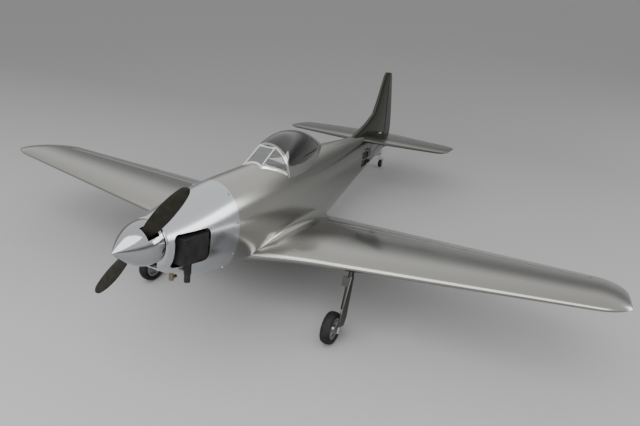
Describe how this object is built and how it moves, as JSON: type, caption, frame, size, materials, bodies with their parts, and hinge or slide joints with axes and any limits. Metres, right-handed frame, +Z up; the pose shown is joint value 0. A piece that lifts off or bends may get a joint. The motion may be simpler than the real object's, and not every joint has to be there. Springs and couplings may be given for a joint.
{
  "type": "rc warbird plane",
  "caption": "Silver low-wing tail-wheel fighter model with spinner and propeller, bubble canopy, hinged control surfaces and retracting main gear.",
  "frame": {"origin": "on the floor, under the middle of the bounding box, the aircraft standing on its three wheels", "axes": "+X to the aircraft's left along the span, +Y towards the tail, +Z up"},
  "size_m": [2.16, 1.8804, 0.5957],
  "materials": {
    "silver_paint": "gloss",
    "cowl_silver": "gloss",
    "chrome": "polished",
    "prop_plastic": "satin",
    "alloy": "satin",
    "steel": "satin",
    "brass": "satin",
    "black_alloy": "satin",
    "black_plastic": "satin",
    "tyre": "matte",
    "glazing": "polished",
    "plywood": "matte",
    "tank_plastic": "satin",
    "cockpit_grey": "matte"
  },
  "bodies": {
    "airframe": {"fuselage_shell": "silver_paint", "tail_fin": "silver_paint", "tailplane": "silver_paint", "wing_left": "silver_paint", "wing_right": "silver_paint", "wing_joiner_tube": "alloy", "wing_ribs": "plywood", "wing_bolts": "steel", "firewall": "plywood", "equipment_tray": "plywood", "fuel_tank": "tank_plastic", "engine_cowl": "cowl_silver", "cowl_screws": "steel", "belly_scoop": "silver_paint", "windshield_glass": "glazing", "windshield_frame": "silver_paint", "cockpit_tub": "cockpit_grey", "pilot_seat": "black_plastic", "engine_crankcase": "alloy", "engine_cylinder": "black_alloy", "spark_plug": "brass", "engine_standoffs": "alloy", "carburettor": "alloy", "muffler": "black_alloy", "servos": "black_plastic", "retract_units": "alloy", "hinges": "black_plastic", "tail_wheel_bracket": "steel"},
    "propeller": {"spinner_cone": "chrome", "spinner_backplate": "chrome", "propeller": "prop_plastic", "prop_hub": "steel"},
    "aileron_left": {"aileron_left": "silver_paint"},
    "aileron_right": {"aileron_right": "silver_paint"},
    "flap_left": {"flap_left": "silver_paint"},
    "flap_right": {"flap_right": "silver_paint"},
    "elevators": {"elevators": "silver_paint"},
    "rudder": {"rudder": "silver_paint"},
    "aileron_arm_left": {"aileron_arm_left": "black_plastic"},
    "aileron_rod_left": {"aileron_rod_left": "steel"},
    "aileron_arm_right": {"aileron_arm_right": "black_plastic"},
    "aileron_rod_right": {"aileron_rod_right": "steel"},
    "elevator_arm": {"elevator_arm": "black_plastic"},
    "elevator_rod": {"elevator_rod": "steel"},
    "rudder_arm": {"rudder_arm": "black_plastic"},
    "rudder_rod": {"rudder_rod": "steel"},
    "tail_wheel_fork": {"tail_wheel_fork": "steel"},
    "tail_wheel": {"tail_wheel": "tyre"},
    "gear_leg_left": {"gear_leg_left": "alloy", "gear_door_left": "silver_paint"},
    "gear_piston_left": {"gear_piston_left": "steel"},
    "wheel_left": {"hub_left": "alloy", "tyre_left": "tyre"},
    "gear_leg_right": {"gear_leg_right": "alloy", "gear_door_right": "silver_paint"},
    "gear_piston_right": {"gear_piston_right": "steel"},
    "wheel_right": {"hub_right": "alloy", "tyre_right": "tyre"},
    "canopy": {"canopy_glass": "glazing", "canopy_frame": "silver_paint"}
  },
  "joints": [
    {"name": "propeller_spin", "type": "hinge", "parent": "airframe", "child": "propeller", "pos_m": [0, -0.84081, 0.4271], "axis": [0, 0.9748, -0.2231], "continuous": true},
    {"name": "aileron_left_turn", "type": "hinge", "parent": "airframe", "child": "aileron_left", "pos_m": [0.8, -0.19909, 0.23689], "axis": [0.971, -0.1823, 0.1543], "range_deg": [-20, 20]},
    {"name": "aileron_right_turn", "type": "hinge", "parent": "airframe", "child": "aileron_right", "pos_m": [-0.8, -0.19909, 0.23689], "axis": [0.971, 0.1823, -0.1543], "range_deg": [-20, 20]},
    {"name": "aileron_arm_left_turn", "type": "hinge", "parent": "airframe", "child": "aileron_arm_left", "pos_m": [0.78482, -0.26805, 0.25092], "axis": [0.971, -0.1823, 0.1543], "range_deg": [-20, 20]},
    {"name": "aileron_rod_left_turn", "type": "hinge", "parent": "aileron_arm_left", "child": "aileron_rod_left", "pos_m": [0.78437, -0.27359, 0.22323], "axis": [0.971, -0.1823, 0.1543], "range_deg": [-20, 20]},
    {"name": "aileron_arm_right_turn", "type": "hinge", "parent": "airframe", "child": "aileron_arm_right", "pos_m": [-0.78482, -0.26805, 0.25092], "axis": [0.971, 0.1823, -0.1543], "range_deg": [-20, 20]},
    {"name": "aileron_rod_right_turn", "type": "hinge", "parent": "aileron_arm_right", "child": "aileron_rod_right", "pos_m": [-0.78437, -0.27359, 0.22323], "axis": [0.971, 0.1823, -0.1543], "range_deg": [-20, 20]},
    {"name": "flap_left_turn", "type": "hinge", "parent": "airframe", "child": "flap_left", "pos_m": [0.376, -0.11947, 0.1695], "axis": [-0.971, 0.1823, -0.1543], "range_deg": [0, 45]},
    {"name": "flap_right_turn", "type": "hinge", "parent": "airframe", "child": "flap_right", "pos_m": [-0.376, -0.11947, 0.1695], "axis": [-0.971, -0.1823, 0.1543], "range_deg": [0, 45]},
    {"name": "elevator_turn", "type": "hinge", "parent": "airframe", "child": "elevators", "pos_m": [0, 0.71154, 0.21743], "axis": [1, 0, 0], "range_deg": [-20, 20]},
    {"name": "elevator_arm_turn", "type": "hinge", "parent": "airframe", "child": "elevator_arm", "pos_m": [0.05, 0.53069, 0.21164], "axis": [1, 0, 0], "range_deg": [-20, 20]},
    {"name": "elevator_rod_turn", "type": "hinge", "parent": "elevator_arm", "child": "elevator_rod", "pos_m": [0.0463, 0.52445, 0.18435], "axis": [1, 0, 0], "range_deg": [-20, 20]},
    {"name": "rudder_turn", "type": "hinge", "parent": "airframe", "child": "rudder", "pos_m": [0, 0.83418, 0.12576], "axis": [0, 0.058, 0.9983], "range_deg": [-25, 25]},
    {"name": "rudder_arm_turn", "type": "hinge", "parent": "airframe", "child": "rudder_arm", "pos_m": [0.011, 0.55585, 0.14228], "axis": [0, 0.058, 0.9983], "range_deg": [-25, 25]},
    {"name": "rudder_rod_turn", "type": "hinge", "parent": "rudder_arm", "child": "rudder_rod", "pos_m": [0.039, 0.55585, 0.14228], "axis": [0, 0.058, 0.9983], "range_deg": [-25, 25]},
    {"name": "tail_wheel_steer", "type": "hinge", "parent": "airframe", "child": "tail_wheel_fork", "pos_m": [0, 0.81828, 0.04733], "axis": [0, 0.2231, 0.9748], "range_deg": [-25, 25]},
    {"name": "tail_wheel_spin", "type": "hinge", "parent": "tail_wheel_fork", "child": "tail_wheel", "pos_m": [0, 0.83459, 0.02], "axis": [1, 0, 0], "continuous": true},
    {"name": "gear_left_retract", "type": "hinge", "parent": "airframe", "child": "gear_leg_left", "pos_m": [0.37, -0.41842, 0.21976], "axis": [0.2753, 0.8515, -0.4463], "range_deg": [0, 87.52]},
    {"name": "oleo_left_slide", "type": "slide", "parent": "gear_leg_left", "child": "gear_piston_left", "axis": [0, 0.4606, 0.8876], "range_m": [0, 0.008], "stiffness_N_per_m": 4000, "springref_m": -0.02},
    {"name": "wheel_left_spin", "type": "hinge", "parent": "gear_piston_left", "child": "wheel_left", "pos_m": [0.37, -0.50652, 0.05], "axis": [1, 0, 0], "continuous": true},
    {"name": "gear_right_retract", "type": "hinge", "parent": "airframe", "child": "gear_leg_right", "pos_m": [-0.37, -0.41842, 0.21976], "axis": [0.2753, -0.8515, 0.4463], "range_deg": [0, 87.52]},
    {"name": "oleo_right_slide", "type": "slide", "parent": "gear_leg_right", "child": "gear_piston_right", "axis": [0, 0.4606, 0.8876], "range_m": [0, 0.008], "stiffness_N_per_m": 4000, "springref_m": -0.02},
    {"name": "wheel_right_spin", "type": "hinge", "parent": "gear_piston_right", "child": "wheel_right", "pos_m": [-0.37, -0.50652, 0.05], "axis": [1, 0, 0], "continuous": true},
    {"name": "canopy_slide", "type": "slide", "parent": "airframe", "child": "canopy", "axis": [0, 0.9934, -0.1146], "range_m": [0, 0.14]}
  ],
  "couplings": [
    {"joint": "aileron_right_turn", "follows": "aileron_left_turn", "ratio": -1},
    {"joint": "aileron_arm_left_turn", "follows": "aileron_left_turn", "ratio": 1},
    {"joint": "aileron_rod_left_turn", "follows": "aileron_left_turn", "ratio": -1},
    {"joint": "aileron_arm_right_turn", "follows": "aileron_left_turn", "ratio": -1},
    {"joint": "aileron_rod_right_turn", "follows": "aileron_left_turn", "ratio": 1},
    {"joint": "flap_right_turn", "follows": "flap_left_turn", "ratio": 1},
    {"joint": "elevator_arm_turn", "follows": "elevator_turn", "ratio": 1},
    {"joint": "elevator_rod_turn", "follows": "elevator_turn", "ratio": -1},
    {"joint": "rudder_arm_turn", "follows": "rudder_turn", "ratio": 1},
    {"joint": "rudder_rod_turn", "follows": "rudder_turn", "ratio": -1},
    {"joint": "tail_wheel_steer", "follows": "rudder_turn", "ratio": 1},
    {"joint": "gear_right_retract", "follows": "gear_left_retract", "ratio": 1}
  ]
}
